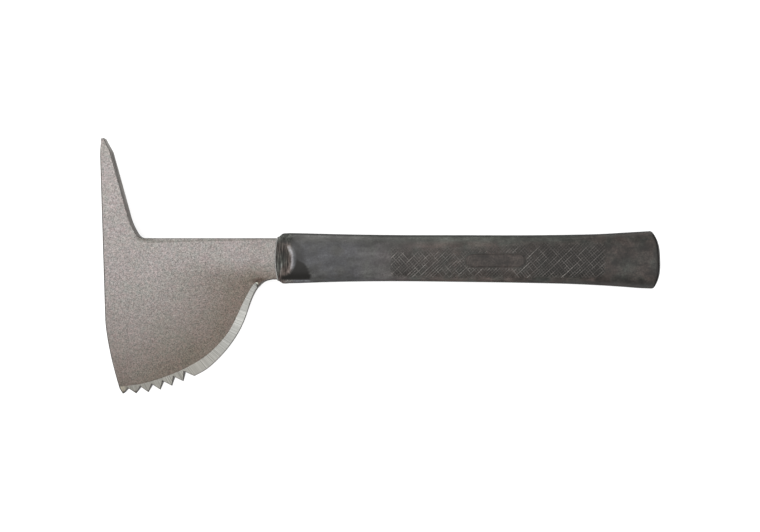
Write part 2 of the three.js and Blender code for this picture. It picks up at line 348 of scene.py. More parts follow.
def cut_and_shaded_steel(name, dark, light, patch):
    """The plate's cut edges: faint lines along them and patches of scale, paler at the pick's tip; their
    darkness is partly scale and partly painted shade on edges that face away from the light.

    The teeth's tips are darker.
    """
    look = Look(name, Metallic=0.85)
    lines = look.noise(3, stretch=(14, 14, 1))
    scale = look.noise(5, detail=4.0, roughness=0.6)
    lined = look.blend(look.spread(lines, 0.38, 0.62), dark, light)
    scaled = look.blend(look.spread(scale, 0.45, 0.9), lined, patch)
    toothed = look.blend(look.ramp("Y", *TIP_DARKENING), (0.014, 0.013, 0.011), scaled)
    colour = look.blend(look.ramp("Y", 69, 75), toothed, (0.17, 0.162, 0.15))
    rough = look.spread(scale, 0.3, 0.7, 0.45, 0.6)
    return look.finish(colour, rough, look.bump(lines, 0.04))


def rubber(name, gloss=GLOSSES[0], greenness=1.0, coarseness=1.0):
    """Black rubber with a grey film, thick where the mesh says so and rubbed into faint streaks; the mesh's
    values also paint shade and highlights into the film.

    Towards the butt the film is more mottled and browner, and it is wiped in rings round the mouth.
    """
    look = Look(name, Specular_IOR_Level=gloss)
    streaks = look.noise(5, detail=4.0, roughness=0.6, stretch=(3.2, 1, 1))
    film = look.combine(look.value("haze_and_painted_light"), look.spread(streaks, 0.32, 0.68, 0.36, 0.64))
    swing = look.ramp("X", 60, 200, 0.75, 2.0)
    grain = look.noise(1.1, detail=3.0, roughness=0.65)
    mottle = look.spread(grain, 0.3, 0.7, -0.32 * coarseness, 0.32 * coarseness)
    film = look.grown(film, look.combine(mottle, swing))
    blots = look.spread(look.noise(7.5, detail=5.0, roughness=0.7), 0.36, 0.64, -0.34, 0.34)
    calm = look.ramp("Y", 7, 11, 1.0, 0.6)
    film = look.grown(film, look.combine(blots, look.combine(swing, calm)))
    mouth = look.ramp("X", 10, 13, 1.0, 0.0)
    wipes = look.spread(look.noise(0.9, detail=3.0, stretch=(1, 9, 1)), 0.37, 0.63, -0.85, 1.0)
    thin = look.spread(film, 0.6, 1.1, 1.0, 0.0)
    film = look.grown(film, look.combine(look.combine(wipes, thin), mouth))
    rear = look.ramp("X", 40, 120, curve="SMOOTHSTEP")
    upper = look.combine(look.ramp("Y", 8, 12), look.ramp("X", 225, 195))
    stain = look.spread(look.noise(13, detail=3.0), 0.43, 0.63, 0.0, greenness)
    stain = look.combine(stain, upper, "MAXIMUM")
    front_dust = look.blend(stain, (0.065, 0.066, 0.071), (0.069, 0.069, 0.067))
    rear_dust = look.blend(stain, (0.082, 0.065, 0.058), (0.064, 0.067, 0.060))
    dust = look.blend(look.combine(rear, mouth, "MAXIMUM"), front_dust, rear_dust)
    dusty = look.blend(film, (0.005, 0.0047, 0.0043), dust)
    # The thickest film, on the mouth's crest and bottom strip, turns pale grey: painted highlight there.
    colour = look.blend(look.spread(film, 0.9, 2.2), dusty, (0.18, 0.18, 0.19))
    rough = look.spread(film, 0.0, 0.5, 0.4, 0.6)
    grained = look.bump(look.noise(0.5), 0.03)
    return look.finish(colour, rough, look.bump(look.noise(9), 0.12, before=grained))


def rib_rubber():
    """The checkering's ribs, whose crests are pale grey in places, from rubbing and as painted highlight
    where they catch the light.
    """
    look = Look("rib_rubber", Specular_IOR_Level=GLOSSES[0])
    patches = look.noise(4, detail=3.0, roughness=0.6)
    worn_and_lit = look.combine(look.value("crest"), look.spread(patches, 0.35, 0.65, 0.35, 1.0))
    colour = look.blend(worn_and_lit, (0.0077, 0.0063, 0.0055), (0.2, 0.19, 0.177))
    rough = look.spread(patches, 0.3, 0.7, 0.5, 0.62)
    return look.finish(colour, rough, look.bump(look.noise(0.4), 0.02))


def nylon():
    look = Look("core_nylon", Specular_IOR_Level=0.4)
    fibres = look.noise(0.5, detail=3.0, stretch=(6, 1, 1))
    colour = look.blend(look.spread(fibres, 0.3, 0.7), (0.40, 0.37, 0.30), (0.52, 0.49, 0.41))
    rough = look.spread(look.noise(4), 0.3, 0.7, 0.48, 0.62)
    return look.finish(colour, rough, look.bump(fibres, 0.03))


def zinc_plate():
    look = Look("rivet_zinc", Metallic=1.0)
    spangle = look.noise(1.2, detail=3.0, roughness=0.6)
    colour = look.blend(look.spread(spangle, 0.3, 0.7), (0.42, 0.43, 0.45), (0.62, 0.62, 0.61))
    rough = look.spread(spangle, 0.3, 0.7, 0.28, 0.44)
    return look.finish(colour, rough, look.bump(look.noise(0.4), 0.01))


def sealant():
    look = Look("mouth_sealant", Specular_IOR_Level=0.3)
    lumps = look.noise(1.5, detail=3.0)
    colour = look.blend(look.spread(lumps, 0.3, 0.7), (0.075, 0.073, 0.07), (0.14, 0.136, 0.128))
    rough = look.spread(lumps, 0.3, 0.7, 0.38, 0.55)
    return look.finish(colour, rough, look.bump(lumps, 0.08))


# ---- Lines on the drawing ----


def spline(points, steps=16):
    """A uniform Catmull-Rom curve through the points, as a fine polyline."""
    points = np.array(points, float)
    padded = np.vstack([points[:1], points, points[-1:]])
    share = np.linspace(0, 1, steps, endpoint=False)[:, None]
    spans = []
    for before, start, end, after in zip(padded, padded[1:], padded[2:], padded[3:]):
        leave, arrive = (end - before) / 2, (after - start) / 2
        spans.append(
            (2 * start - 2 * end + leave + arrive) * share**3
            + (3 * end - 3 * start - 2 * leave - arrive) * share**2
            + leave * share
            + start
        )
    return np.vstack([*spans, points[-1:]])


def bezier(*points, steps=12):
    """A Bezier curve of any degree, without its first point."""
    share = np.linspace(0, 1, steps + 1)[1:, None]
    layer = [np.array(point, float) for point in points]
    while len(layer) > 1:
        layer = [start * (1 - share) + end * share for start, end in zip(layer, layer[1:])]
    return list(layer[0])


class Track:
    """A polyline measured along its length, with its inside on the left."""

    def __init__(self, points):
        self.points = np.array(points, float)
        self.steps = np.diff(self.points, axis=0)
        self.lengths = norm(self.steps, axis=1)
        self.runs = np.concatenate([[0], np.cumsum(self.lengths)])
        self.length = self.runs[-1]

    def at(self, run):
        return np.stack([np.interp(run, self.runs, self.points[:, axis]) for axis in (0, 1)], -1)

    def inwards(self, run, reach=0.4):
        ahead = self.at(run + reach) - self.at(run - reach)
        ahead /= norm(ahead)
        return np.array([-ahead[1], ahead[0]])

    def nearest(self, points):
        """Each point's distance to the line, how far along it that is, and a number above 0 on its left."""
        offsets = points[:, None] - self.points[None, :-1]
        shares = np.clip((offsets * self.steps).sum(2) / self.lengths**2, 0, 1)
        gaps = offsets - shares[..., None] * self.steps
        distances = norm(gaps, axis=2)
        best = distances.argmin(1)
        rows = np.arange(len(points))
        gap, step = gaps[rows, best], self.steps[best]
        runs = self.runs[best] + shares[rows, best] * self.lengths[best]
        return distances[rows, best], runs, step[:, 0] * gap[:, 1] - step[:, 1] * gap[:, 0]


# ---- Steel head ----

PLAIN_RADIUS = 0.7  # rounding of the plate's edges
KEEN_RADIUS = 0.22  # rounding of the cutting edge
EDGE_SEGMENTS = 6  # steps round an edge
GUARD = 0.15  # width of the flat strip inside the rounding
OUTLINE_STEP = 1.2
BEVEL_TIP = 7.0  # length of crease at the bevel's top end that is cut finer
TANG_STEP = 4.0
GRID_STEP = 5.0  # spacing of the points inside the flat sides
RUNOUT = 2.3  # length over which the bevel fades out at its end by the neck
DARK_END = 0.9  # length of bevel at that end that gets the dark scaled finish, as painted shadow on the steep runout
FRONT_RUN = 5.5  # where along the crease the bevel begins, at the blade's front edge
FRONT_RUNOUT = 9.0
FRONT_SHARE = 0.22  # the bevel's depth there, as a share of the full depth
TEETH, PICK = 1, 4  # stretches of the outline; PICK has the neck's top in it
BLASTED, GROUND, CUT, SCALED = range(4)  # the head's finishes
FLAT_LOSS = 0.03  # where the face is lowered by less, it counts as flat
CREASE_CLEARANCE = 0.6  # between the crease's points and the rim
GRID_CLEARANCE = 2.0  # between the grid's points and the rim or the crease
HOLE_CLEARANCE = 1.5  # between the grid's points and the holes
HOLE_STEPS = 24
TIP_START, TIP_LENGTH, TIP_THINNING = 68, 13, 0.8  # the pick thins towards its tip
HOLE_RADIUS = 3.3
FLANK_RADIUS = 0.2  # rounding of the teeth's steep flanks
SIDE_SHADE_REACH = 90  # how far from the bevel's crease the painted shade reaches
BEVEL_SLOPE = 0.72

cutting_edge = Track(spline([
    (-103.4, -91.5), (-95.3, -91.6), (-87.3, -90.8), (-79.4, -89.2), (-71.4, -86.6), (-63.7, -83.5),
    (-56.2, -80.1), (-46.2, -74.3), (-35.4, -63.8), (-27.2, -52.7), (-21.8, -42.1), (-16.7, -27.8),
    (-12.7, -20.3), (-8.1, -15.9), (-2.5, -NECK_BOTTOM),
]))
bevel_crease = Track(spline([
    (-111.8, -87.4), (-101.4, -86.1), (-90, -84.4), (-78.2, -81.1), (-66.4, -76.6), (-58.1, -72.6),
    (-49.8, -67.7), (-42.8, -62.1), (-36.1, -55.2), (-31.6, -49.3), (-27.6, -42.1), (-22.6, -31.4),
    (-19.4, -25), (-16.9, -20.5), (-14.9, -17.5), (-13.5, -16.4), (-12.1, -16.1), (-11.1, -16.5),
], steps=24))
bevel_foot = Track(spline([
    (-112, -91.4), (-103.4, -91.6), (-95.3, -91.7), (-79.4, -89.3), (-63.7, -83.6), (-56.2, -80.2),
    (-46.2, -74.4), (-35.4, -63.9), (-27.2, -52.8), (-21.8, -42.2), (-16.7, -27.9), (-13.0, -20.9),
    (-11.3, -18.6), (-10.4, -17.2),
]))


def half_thickness(points):
    """Height of the head's upper side above the mid-plane: flat, then down the bevel to the edge's land.

    Where the bevel is narrow it doesn't get that far down, so that it is never steeper than BEVEL_SLOPE.
    """
    from_crease, run, side = bevel_crease.nearest(points)
    width = from_crease + bevel_foot.nearest(points)[0] + 1e-9
    drop = np.minimum(FACE - EDGE_LAND / 2, BEVEL_SLOPE * width)
    share = np.where(side < 0, from_crease / width, 0)
    runout = smooth((bevel_crease.length - run) / RUNOUT) * (
        FRONT_SHARE + (1 - FRONT_SHARE) * smooth((run - FRONT_RUN) / FRONT_RUNOUT)
    )
    return FACE - drop * share * runout


def subdivided(points, step):
    """The polyline with each stretch cut into equal parts no shorter than step, without its last point."""
    points = np.array(points, float)
    cut = []
    for start, end in zip(points, points[1:]):
        parts = max(1, int(norm(end - start) / step))
        cut.extend(start + (end - start) * part / parts for part in range(parts))
    return cut


def head_outline():
    """The plate's outline, anticlockwise from the pick's tip, and the number of each point's stretch."""
    front_curve = bezier((-115, -42), (-113.4, -61.5), (-105.3, -88))
    front = [(-118.6, 73), (-115, -42), *front_curve, (-103.4, -91.5)]
    teeth = [front[-1]]
    for tooth, (depth, share) in enumerate(zip(TOOTH_DEPTHS, TOOTH_ROOTS)):
        root = (tooth + share) * TOOTH_PITCH
        teeth.append(cutting_edge.at(root) + depth * cutting_edge.inwards(root))
        teeth.append(cutting_edge.at((tooth + 1) * TOOTH_PITCH))
    smooth_runs = np.linspace(len(TOOTH_DEPTHS) * TOOTH_PITCH, cutting_edge.length, 90)
    belly = [*cutting_edge.at(smooth_runs), (SHOULDER, -NECK_BOTTOM)]
    turns = np.linspace(-math.pi / 2, math.pi / 2, 19)
    arc = TANG_HALF * np.column_stack([np.cos(turns), np.sin(turns)])
    round_end = arc + (TANG_END - TANG_HALF, 0)
    tang = [belly[-1], (SHOULDER, -TANG_HALF), *round_end, (SHOULDER, TANG_HALF), (SHOULDER, NECK_TOP)]
    throat = bezier((-87.8, NECK_TOP), (-92.3, NECK_TOP), (-93.8, 15.4), (-95.6, 18.8))
    pick = [
        tang[-1], (-87.8, NECK_TOP), *throat, *bezier((-95.6, 18.8), (-98, 22.8), (-99.5, 27.7)),
        (-111.1, 69.8), *bezier((-111.1, 69.8), (-111.5, 72.4), (-112.7, 74.3)),
        (-116.5, 81.5), (-118.1, 81.2), front[0],
    ]
    steps = (OUTLINE_STEP, OUTLINE_STEP, OUTLINE_STEP, TANG_STEP, OUTLINE_STEP)
    runs = [subdivided(run, step) for run, step in zip((front, teeth, belly, tang, pick), steps)]
    return np.vstack(runs), np.repeat(range(len(runs)), [len(run) for run in runs])


def inset(outline, distances):
    """A closed outline moved inwards, by a distance at each point."""
    ahead = np.roll(outline, -1, 0) - outline
    ahead /= norm(ahead, axis=1, keepdims=True)
    inwards = np.stack([-ahead[:, 1], ahead[:, 0]], 1)
    before = np.roll(inwards, 1, 0)
    mitre = (inwards + before) / (1 + (inwards * before).sum(1, keepdims=True))
    return outline + mitre * np.asarray(distances)[..., None]


def inside(points, outline):
    """Which points lie inside a closed outline."""
    start, end = outline, np.roll(outline, -1, 0)
    x, y = points[:, 0, None], points[:, 1, None]
    spans = (start[:, 1] > y) != (end[:, 1] > y)
    climb = np.where(end[:, 1] == start[:, 1], 1e-12, end[:, 1] - start[:, 1])
    crossing = start[:, 0] + (y - start[:, 1]) * (end[:, 0] - start[:, 0]) / climb
    return (spans & (x < crossing)).sum(1) % 2 == 1


def closed_edges(first, count):
    return [(first + i, first + (i + 1) % count) for i in range(count)]


def band(first, second, count):
    """The quads between two rings of count points, which start at these indices."""
    return [[first + a, first + b, second + b, second + a] for a, b in closed_edges(0, count)]


def mirrored(points, faces):
    """A shape and its mirror image on the other side of the mid-plane."""
    reflection = [[index + len(points) for index in reversed(face)] for face in faces]
    return np.vstack([points, points * (1, 1, -1)]), [*faces, *reflection]


def side_points(rim):
    """Points and edges that fill one side of the plate inside its rim: the crease, the holes and a grid."""
    rim_track = Track(np.vstack([rim, rim[:1]]))
    points, edges = [*rim], closed_edges(0, len(rim))
    tip_start = bevel_crease.length - BEVEL_TIP
    crease = bevel_crease.at(np.concatenate([
        np.arange(0, tip_start, OUTLINE_STEP), np.arange(tip_start, bevel_crease.length, OUTLINE_STEP / 3),
    ]))
    crease = crease[inside(crease, rim) & (rim_track.nearest(crease)[0] > CREASE_CLEARANCE)]
    ends = [int(norm(rim - end, axis=1).argmin()) for end in (crease[0], crease[-1])]
    chain = [ends[0], *range(len(points), len(points) + len(crease)), ends[1]]
    edges.extend(zip(chain, chain[1:]))
    points.extend(crease)
    centres = [middle_of(rivet)[:2] for rivet in RIVETS]
    turns = np.linspace(0, 2 * math.pi, HOLE_STEPS, endpoint=False)
    circle = HOLE_RADIUS * np.stack([np.cos(turns), np.sin(turns)], 1)
    holes = []
    for centre in centres:
        holes.append(range(len(points), len(points) + len(circle)))
        edges.extend(closed_edges(len(points), len(circle)))
        points.extend(centre + circle)
    columns, lines = (np.arange(*span, GRID_STEP) for span in zip(rim.min(0), rim.max(0)))
    grid = np.array([(x + (row % 2) * GRID_STEP / 2, y) for row, y in enumerate(lines) for x in columns])
    keep = inside(grid, rim) & (rim_track.nearest(grid)[0] > GRID_CLEARANCE)
    keep &= bevel_crease.nearest(grid)[0] > GRID_CLEARANCE
    for centre in centres:
        keep &= norm(grid - centre, axis=1) > HOLE_RADIUS + HOLE_CLEARANCE
    points.extend(grid[keep])
    return np.array(points), edges, holes, centres


def fill_side(rim):
    """Triangles that fill one side of the plate inside its rim, with the points they use."""
    points, edges, holes, centres = side_points(rim)
    vectors = [Vector(point) for point in points]
    corners, _, triangles, sources, *_ = delaunay_2d_cdt(vectors, edges, [], 1, 1e-5)
    kept = []
    for triangle in triangles:
        middle = np.mean([corners[corner] for corner in triangle], axis=0)
        if all(norm(middle - centre) > HOLE_RADIUS for centre in centres):
            kept.append([sources[corner][0] for corner in triangle])
    return points, kept, holes


def bevel_side_shade_at(points):
    """How much painted shade, darker and browner, the side gets: most by the bevel, little on the neck."""
    gap = bevel_crease.nearest(points)[0]
    reach = np.clip(1 - gap / SIDE_SHADE_REACH, 0, 1) ** 1.5
    reach *= 0.88 + 0.24 * rise(points[:, 0], -112, -52)
    return reach * (1 - 0.8 * rise(points[:, 1], -15, 1))


def side_finishes(points):
    """Which finish the head's side has at these points; the steep end of the bevel gets the dark scaled
    finish as painted shadow.
    """
    polished = bevel_crease.nearest(points)[1] < bevel_crease.length - DARK_END
    flat = half_thickness(points) > FACE - FLAT_LOSS
    return np.where(flat, BLASTED, np.where(polished, GROUND, SCALED))


def build_head(finishes):
    """The head, with one material for each of its four finishes."""
    outline, stretch = head_outline()
    toothed = stretch == TEETH
    count = len(outline)
    flank = toothed & (np.roll(outline, -1, 0)[:, 1] > outline[:, 1])
    keenness = (half_thickness(outline) - EDGE_LAND / 2) / (FACE - EDGE_LAND / 2)
    radius = np.where(toothed, KEEN_RADIUS, KEEN_RADIUS + (PLAIN_RADIUS - KEEN_RADIUS) * keenness)
    radius[flank] = FLANK_RADIUS
    turns = np.linspace(0, math.pi / 2, EDGE_SEGMENTS + 1)
    rings = [inset(outline, radius * (1 - math.cos(turn))) for turn in turns]
    dips = [radius * (1 - math.sin(turn)) for turn in turns]
    filled, triangles, holes = fill_side(inset(outline, radius + GUARD))
    flat = np.vstack([*rings, filled])
    rim_start = count * len(rings)
    height = half_thickness(flat) - TIP_THINNING * smooth((flat[:, 1] - TIP_START) / TIP_LENGTH)
    height[:rim_start] -= np.concatenate(dips)

    faces, kinds = [], []
    for row in range(0, rim_start, count):
        faces.extend(band(row, row + count, count))
        kinds.extend(np.where(stretch == PICK, BLASTED, SCALED))
    triangles = np.array(triangles) + rim_start
    faces.extend(triangles.tolist())
    kinds.extend(side_finishes(flat[triangles].mean(1)))
    points, faces = mirrored(np.column_stack([flat, height]), faces)
    faces.extend(band(len(flat), 0, count))
    kinds = [*kinds, *kinds, *np.where(toothed, SCALED, CUT)]
    for hole in holes:
        start = hole[0] + rim_start
        faces.extend(band(start, start + len(flat), HOLE_STEPS))
        kinds.extend([CUT] * HOLE_STEPS)
    # The second value paints shade on the flat sides near the bevel.
    values = {"grind_run": bevel_crease.nearest(flat)[1] * MM, "bevel_side_shade": bevel_side_shade_at(flat)}
    add_piece(
        "hatchet_head", points, faces, finishes, "blade_head", kinds, values, sharp=19,
    )


# ---- Rubber grip ----

AROUND = 144  # points round a section
MOUTH_RINGS, BODY_RINGS, RIM_RINGS = 49, 150, 5
SIDE_HALF = 5.0  # half width of the grip's matt sides
SIDE_BLEND = 3.6  # width over which the shine comes back beside them
SIDE_SHADE_FILM = 0.03  # film on the sides, as a share of the film on the faces; the thin film paints shade on the sides
FILM_STARTS = (3.3, 1.2)  # how far off the mid-plane it starts, above and below the axis
FILM_BLEND = 4.3  # width over which it gets thick
CROWN_FILM = 0.3  # film in the middle of the butt
CROWN_BLEND = 5  # rings over which it comes back inside the butt's rim, where the missing film paints shade
GRIP_SIZES = [  # place along the handle, half height above and below the axis, half thickness
    (6, 17.1, 17.1, 12.2), (15, 17.2, 16.95, 12.3), (45, 16.45, 15.9, 12.0), (80, 15.9, 15.5, 11.6),
    (125, 15.8, 15.95, 11.5), (170, 15.75, 16.65, 11.7), (200, 16.1, 17.4, 12.1), (220, 16.6, 18.35, 12.8),
    (236, 17.5, 19.4, 13.5), (246, 18.1, 20.2, 13.9), (256, 18.7, 20.6, 14.1),
]
GRIP_MOUTH = [  # x, half height above and below, half thickness, squareness, bow, scoop
    (0.4, 14.7, 15.3, 5.3, 10, 2, 0), (1.0, 15.3, 15.85, 5.9, 7, 1.9, 0),
    (2.8, 15.8, 16.2, 6.85, 4.8, 1.2, -0.4), (4.2, 16.1, 16.5, 7.6, 4.3, 0.6, -1.0),
    (5.5, 16.4, 16.7, 8.3, 4, 0.2, -1.7), (8.2, 16.75, 17.0, 10.1, 3.3, 0, -3.7),
    (10.4, 17.0, 17.1, 11.75, 2.9, 0, -5.2), (12.1, 17.1, 17.1, 12.45, 2.75, 0, -6.2),
    (13.5, 17.1, 17.1, 12.55, 2.7, 0, -6.8),
]
SCOOP_HALF = 0.78  # half height of the mouth's scoop, as a share of the grip's


def read_smoothly(table, at):
    """A table's rows at other places, on a smooth curve. Its first column holds the places."""
    table = np.array(table, float)
    places, rows = table[:, 0], table[:, 1:]
    slopes = np.diff(rows, axis=0) / np.diff(places)[:, None]
    tangents = np.vstack([slopes[:1], (slopes[:-1] + slopes[1:]) / 2, slopes[-1:]])
    span = np.clip(np.searchsorted(places, at, side="right") - 1, 0, len(places) - 2)
    width = (places[span + 1] - places[span])[:, None]
    share = (at - places[span])[:, None] / width
    weight = share**2 * (3 - 2 * share)
    return (
        rows[span] * (1 - weight) + rows[span + 1] * weight
        + width * tangents[span] * share * (1 - share) ** 2
        - width * tangents[span + 1] * share**2 * (1 - share)
    )


def scooped(height):
    """0 on the axis, rising to 1 outside the mouth's scoop; height is a share of the grip's half height."""
    depth = (height / SCOOP_HALF) ** 2
    return depth / (1 + depth**4) ** 0.25


def handle_ring(x, top, bottom, side, power, share=1.0, bow=0.0, scoop=0.0, dome=0.0):
    """One ring round the handle, as the CAD part has it, with more points."""
    turns = np.linspace(0, 2 * math.pi, AROUND, endpoint=False)
    up, out = np.cos(turns), np.sin(turns)
    reach = share / (np.abs(up) ** power + np.abs(out) ** power) ** (1 / power)
    y = up * reach * np.where(up > 0, top, bottom)
    sag = BUTT_SAG * np.abs(up * reach) ** BUTT_SAG_POWER + BUTT_RAKE * y
    sag += BUTT_SIDE_SAG * np.abs(out * reach) ** BUTT_SIDE_POWER
    places = x + bow * (up * reach) ** 2 + scoop * scooped(up * reach) - dome * sag
    return np.stack([places, y, out * reach * min(side, GRIP_HALF)], 1)


def grip_sizes(place):
    return read_smoothly(GRIP_SIZES, np.array([place]))[0]


def outer_rings():
    """The grip's outside, from its mouth to the crown of its butt."""
    rings = []
    table = [(row, *sizes) for row, sizes in enumerate(GRIP_MOUTH)]
    for x, *sizes, bow, scoop in read_smoothly(table, np.linspace(0, len(table) - 1, MOUTH_RINGS)):
        rings.append(handle_ring(x, *sizes, bow=bow, scoop=scoop))
    body_end = CROWN_END - RIM_RADIUS
    for share in np.linspace(0, 1, BODY_RINGS):
        x = GRIP_START + (body_end - GRIP_START) * share
        sizes = grip_sizes(x - BUTT_SAG * share**6)
        rings.append(handle_ring(x, *sizes, GRIP_POWER, scoop=-7 * (1 - share) ** 9, dome=share**6))
    rim = grip_sizes(GRIP_END - BUTT_SAG)
    for turn in np.linspace(0, math.pi / 2, RIM_RINGS + 1)[1:]:
        share = 1 - RIM_SHARE * (1 - math.cos(turn))
        x = body_end + RIM_RADIUS * math.sin(turn)
        rings.append(handle_ring(x, *rim, GRIP_POWER, share=share, dome=1))
    for share in np.linspace(1 - RIM_SHARE, 0, 16)[1:]:
        rings.append(handle_ring(CROWN_END, *rim, GRIP_POWER, share=share, dome=1))
    return rings


def inner_rings():
    """The grip's inside, from the core's rounded end to the mouth."""
    height, thickness = CORE_HALF_HEIGHT + GAP, CORE_HALF_THICKNESS + GAP
    rings = []
    for share in (1, 0.98, 0.9, 0.75, 0.5, 0.25, 0):
        scale = math.sqrt(1 - 0.6 * share**2)
        x = CORE_END - CORE_NOSE + (CORE_NOSE + GAP) * share
        rings.append(handle_ring(x, height * scale, height * scale, thickness * scale, CORE_POWER))
    for x in np.linspace(CORE_END - CORE_NOSE, SHOULDER, 40)[1:]:
        rings.append(handle_ring(x, height, height, thickness, CORE_POWER))
    passage = (NECK_TOP + GAP, NECK_BOTTOM + GAP, FACE + GAP, 30)
    for x, bow in ((SHOULDER, 0), (9, 0), (4, 1.5), (1.2, 2), (0.6, 2)):
        rings.append(handle_ring(x, *passage, bow=bow))
    return rings


def loft(rings):
    """A closed skin through rings, with a fan at both ends."""
    points = np.vstack([*rings, rings[0].mean(0)[None], rings[-1].mean(0)[None]])
    last = (len(rings) - 1) * AROUND
    first_hub, last_hub = len(points) - 2, len(points) - 1
    faces = []
    for start, end in closed_edges(0, AROUND):
        faces.append([first_hub, end, start])
        faces.append([last_hub, last + start, last + end])
    for row in range(0, last, AROUND):
        faces.extend(band(row, row + AROUND, AROUND))
    return points, faces


SHADE_PATCH_EDGE = [  # height and place along the handle of the right-hand border of the patch of painted shade
    (-16.5, 22), (-14.6, 24), (-11.5, 24.9), (-9.7, 24.2), (-6.3, 22.9),
    (-3.9, 21.2), (-2.2, 18.4), (-0.6, 16), (1.5, 12.5), (4, 4),
]


def bell(gap, width):
    return np.exp(-(gap / width) ** 2)


def body_film(points):
    """The film away from the mouth: thinner towards the butt and in the checkering, and thin on the sides
    as painted shade.
    """
    x, y, z = points.T
    film = 0.84 - 0.11 * rise(x, 60, 90) - 0.35 * rise(x, 130, 190) - 0.05 * rise(x, 185, 210)
    film *= 1 + 0.35 * rise(y, 8, 13) * rise(x, 75, 130) + 0.35 * bell(np.abs(z) - 7.6, 1.3) * (y > 0)
    film *= 1 + 0.38 * rise(y, 10.5, 13.5) * rise(x, 75, 55)
    low_middle = rise(x, 50, 65) * (1 - 0.65 * rise(x, 110, 145)) * rise(x, 195, 175)
    film *= 1 + 0.42 * rise(y, -8.5, -12) * low_middle
    in_panel = rise(panel_depth(points[:, :2]), 0, 2.5) * rise(below_top(points[:, :2]), 0, 8)
    film *= 1 - (0.48 + 0.34 * rise(x, 165, 190)) * in_panel
    slant = np.minimum(26.7 - 1.1 * y, 20.2)
    film *= 1 - 0.5 * rise(slant - x, -1.25, 1.25)
    # Painted shade: the film thins on the sides, where the surface turns away from the light.
    off_side = smooth((np.abs(z) - np.where(y > 0, *FILM_STARTS)) / FILM_BLEND)
    return film * (SIDE_SHADE_FILM + (1 - SIDE_SHADE_FILM) * off_side)


def haze_and_painted_light_at(points):
    """How thick the grey film on the rubber is, where 1 is about the film on the grip's front part.

    Round the mouth it carries painted light and shade: thin film paints shade in the dish and on a patch
    below it, and thick film paints highlights on the dish's crest, which is also rubbed pale, on a line
    along its lower lip and on a strip along the bottom.
    """
    x, y, z = points.T
    edge = read_smoothly(SHADE_PATCH_EDGE, np.clip(y, -16.5, 4))[:, 0]
    # Painted shade: a darker patch below the dish, where the surface turns from the light.
    patch = rise(edge - x, 0, 1.2) * rise(y, -14.7, -13.9) * (z > 0)
    bend = np.clip(np.abs(y + 0.9) / 10.9, 0, 0.995)
    crest_place = 12.3 - 7 * (1 - np.sqrt(1 - bend**2))
    # Painted shade in the dish: thin film there, thinnest in a dark core.
    dish = rise(crest_place - x, 0.5, 1.7)
    dish_shade_film = 0.6 - 0.24 * bell(np.hypot(x - 6.5, (y - 2) / 2), 2.5)
    dish_shade_film += 0.2 * rise(y, 4, 9) + 0.25 * rise(y, 11, 13.5)
    haze_and_painted_light = body_film(points) * (1 - patch) * (1 - dish) + dish * dish_shade_film
    # Painted highlight on the dish's crest, which is also rubbed pale.
    crest = bell(x - crest_place, 1.2 + 0.5 * rise(y, 1, 8)) * rise(np.abs(y + 0.5), 12.5, 4.5)
    # Painted highlight along the dish's lower lip.
    lip = bell(x - 4.3, 0.5) * rise(y, -0.5, -3.5) * rise(y, -13.5, -10.5)
    # Painted highlight on a strip along the bottom near the mouth.
    strip = rise(x, 25, 22) * rise(x, 3, 5) * rise(y, -14.1, -14.9) * rise(np.abs(z), 2.5, 6.5)
    return haze_and_painted_light + 2.6 * crest + 0.6 * lip + 1.35 * strip


def build_grip(materials):
    """The grip, with less shine and a thinner film, which paints shade, on its sides and round its butt's
    rim.
    """
    inner = inner_rings()
    points, faces = loft([*inner, *outer_rings()[:-1]])
    starts = np.array([face[0] for face in faces])
    ring = np.arange(len(points)) // AROUND - (len(inner) + MOUTH_RINGS + BODY_RINGS - 1)
    crown = smooth((ring - RIM_RINGS) / CROWN_BLEND)
    haze_and_painted_light = np.where(ring < 0, haze_and_painted_light_at(points), CROWN_FILM * crown)
    x, y, z = points[starts].T
    matt = 1 - smooth((np.abs(z) - SIDE_HALF) / SIDE_BLEND)
    matt *= (np.abs(y) > CORE_HALF_HEIGHT + 1) * smooth((x - 2) / 6)
    matt = np.where(ring[starts] < 0, matt, 1 - crown[starts])
    kinds = np.rint(matt * (len(materials) - 1)).astype(int)
    add_piece(
        "grip_sleeve", points, faces, materials, "rubber_grip", kinds,
        {"haze_and_painted_light": haze_and_painted_light}, sharp=40,
    )
    return BVHTree.FromPolygons([Vector(point) for point in points], faces)


# ---- Checkering ----

PANEL_START, PANEL_END = 77, 220
PANEL_LOW, PANEL_HIGH = -13.4, 10.6
PANEL_CORNER = 4
PANEL_SHOULDER = 3.4  # how much lower the panel's top is at its front end
RIB_ANGLES = (44, -48)
RIB_PITCH = 1.57
RIB_STEP = 0.8
RIB_SINK = 0.12
BOLD_RIB = (0.25, 0.54, 0.27)  # height, width at the foot, width at the crest
FINE_RIB = (0.15, 0.36, 0.17)
RIB_TAPER = 1.0
RIB_WEAR_AND_HIGHLIGHT = (0.8, 0.55)  # how pale the crests of each family are, from rubbing and painted highlight
WEAR_STEP = 5.0  # length of a rib over which its paleness changes
FADE = 6.0  # height over which the ribs fade out at the panel's top
WEAR_SEED = 7
TOP_FILM = 0.2
PAD_START, PAD_END, PAD_MIDDLE, PAD_HALF = 127, 166.7, -1.5, 4.35
PAD_MARGIN = 0.2
PAD_HEIGHT = 0.055  # above the skin
PAD_SINK = 0.4
PAD_ROUNDING = 0.8  # width over which the pad's rim rises
PAD_COLUMNS, PAD_LINES = 61, 15
PAD_HAZE = 0.35
REACH = 60  # height above the axis from which the skin is looked for


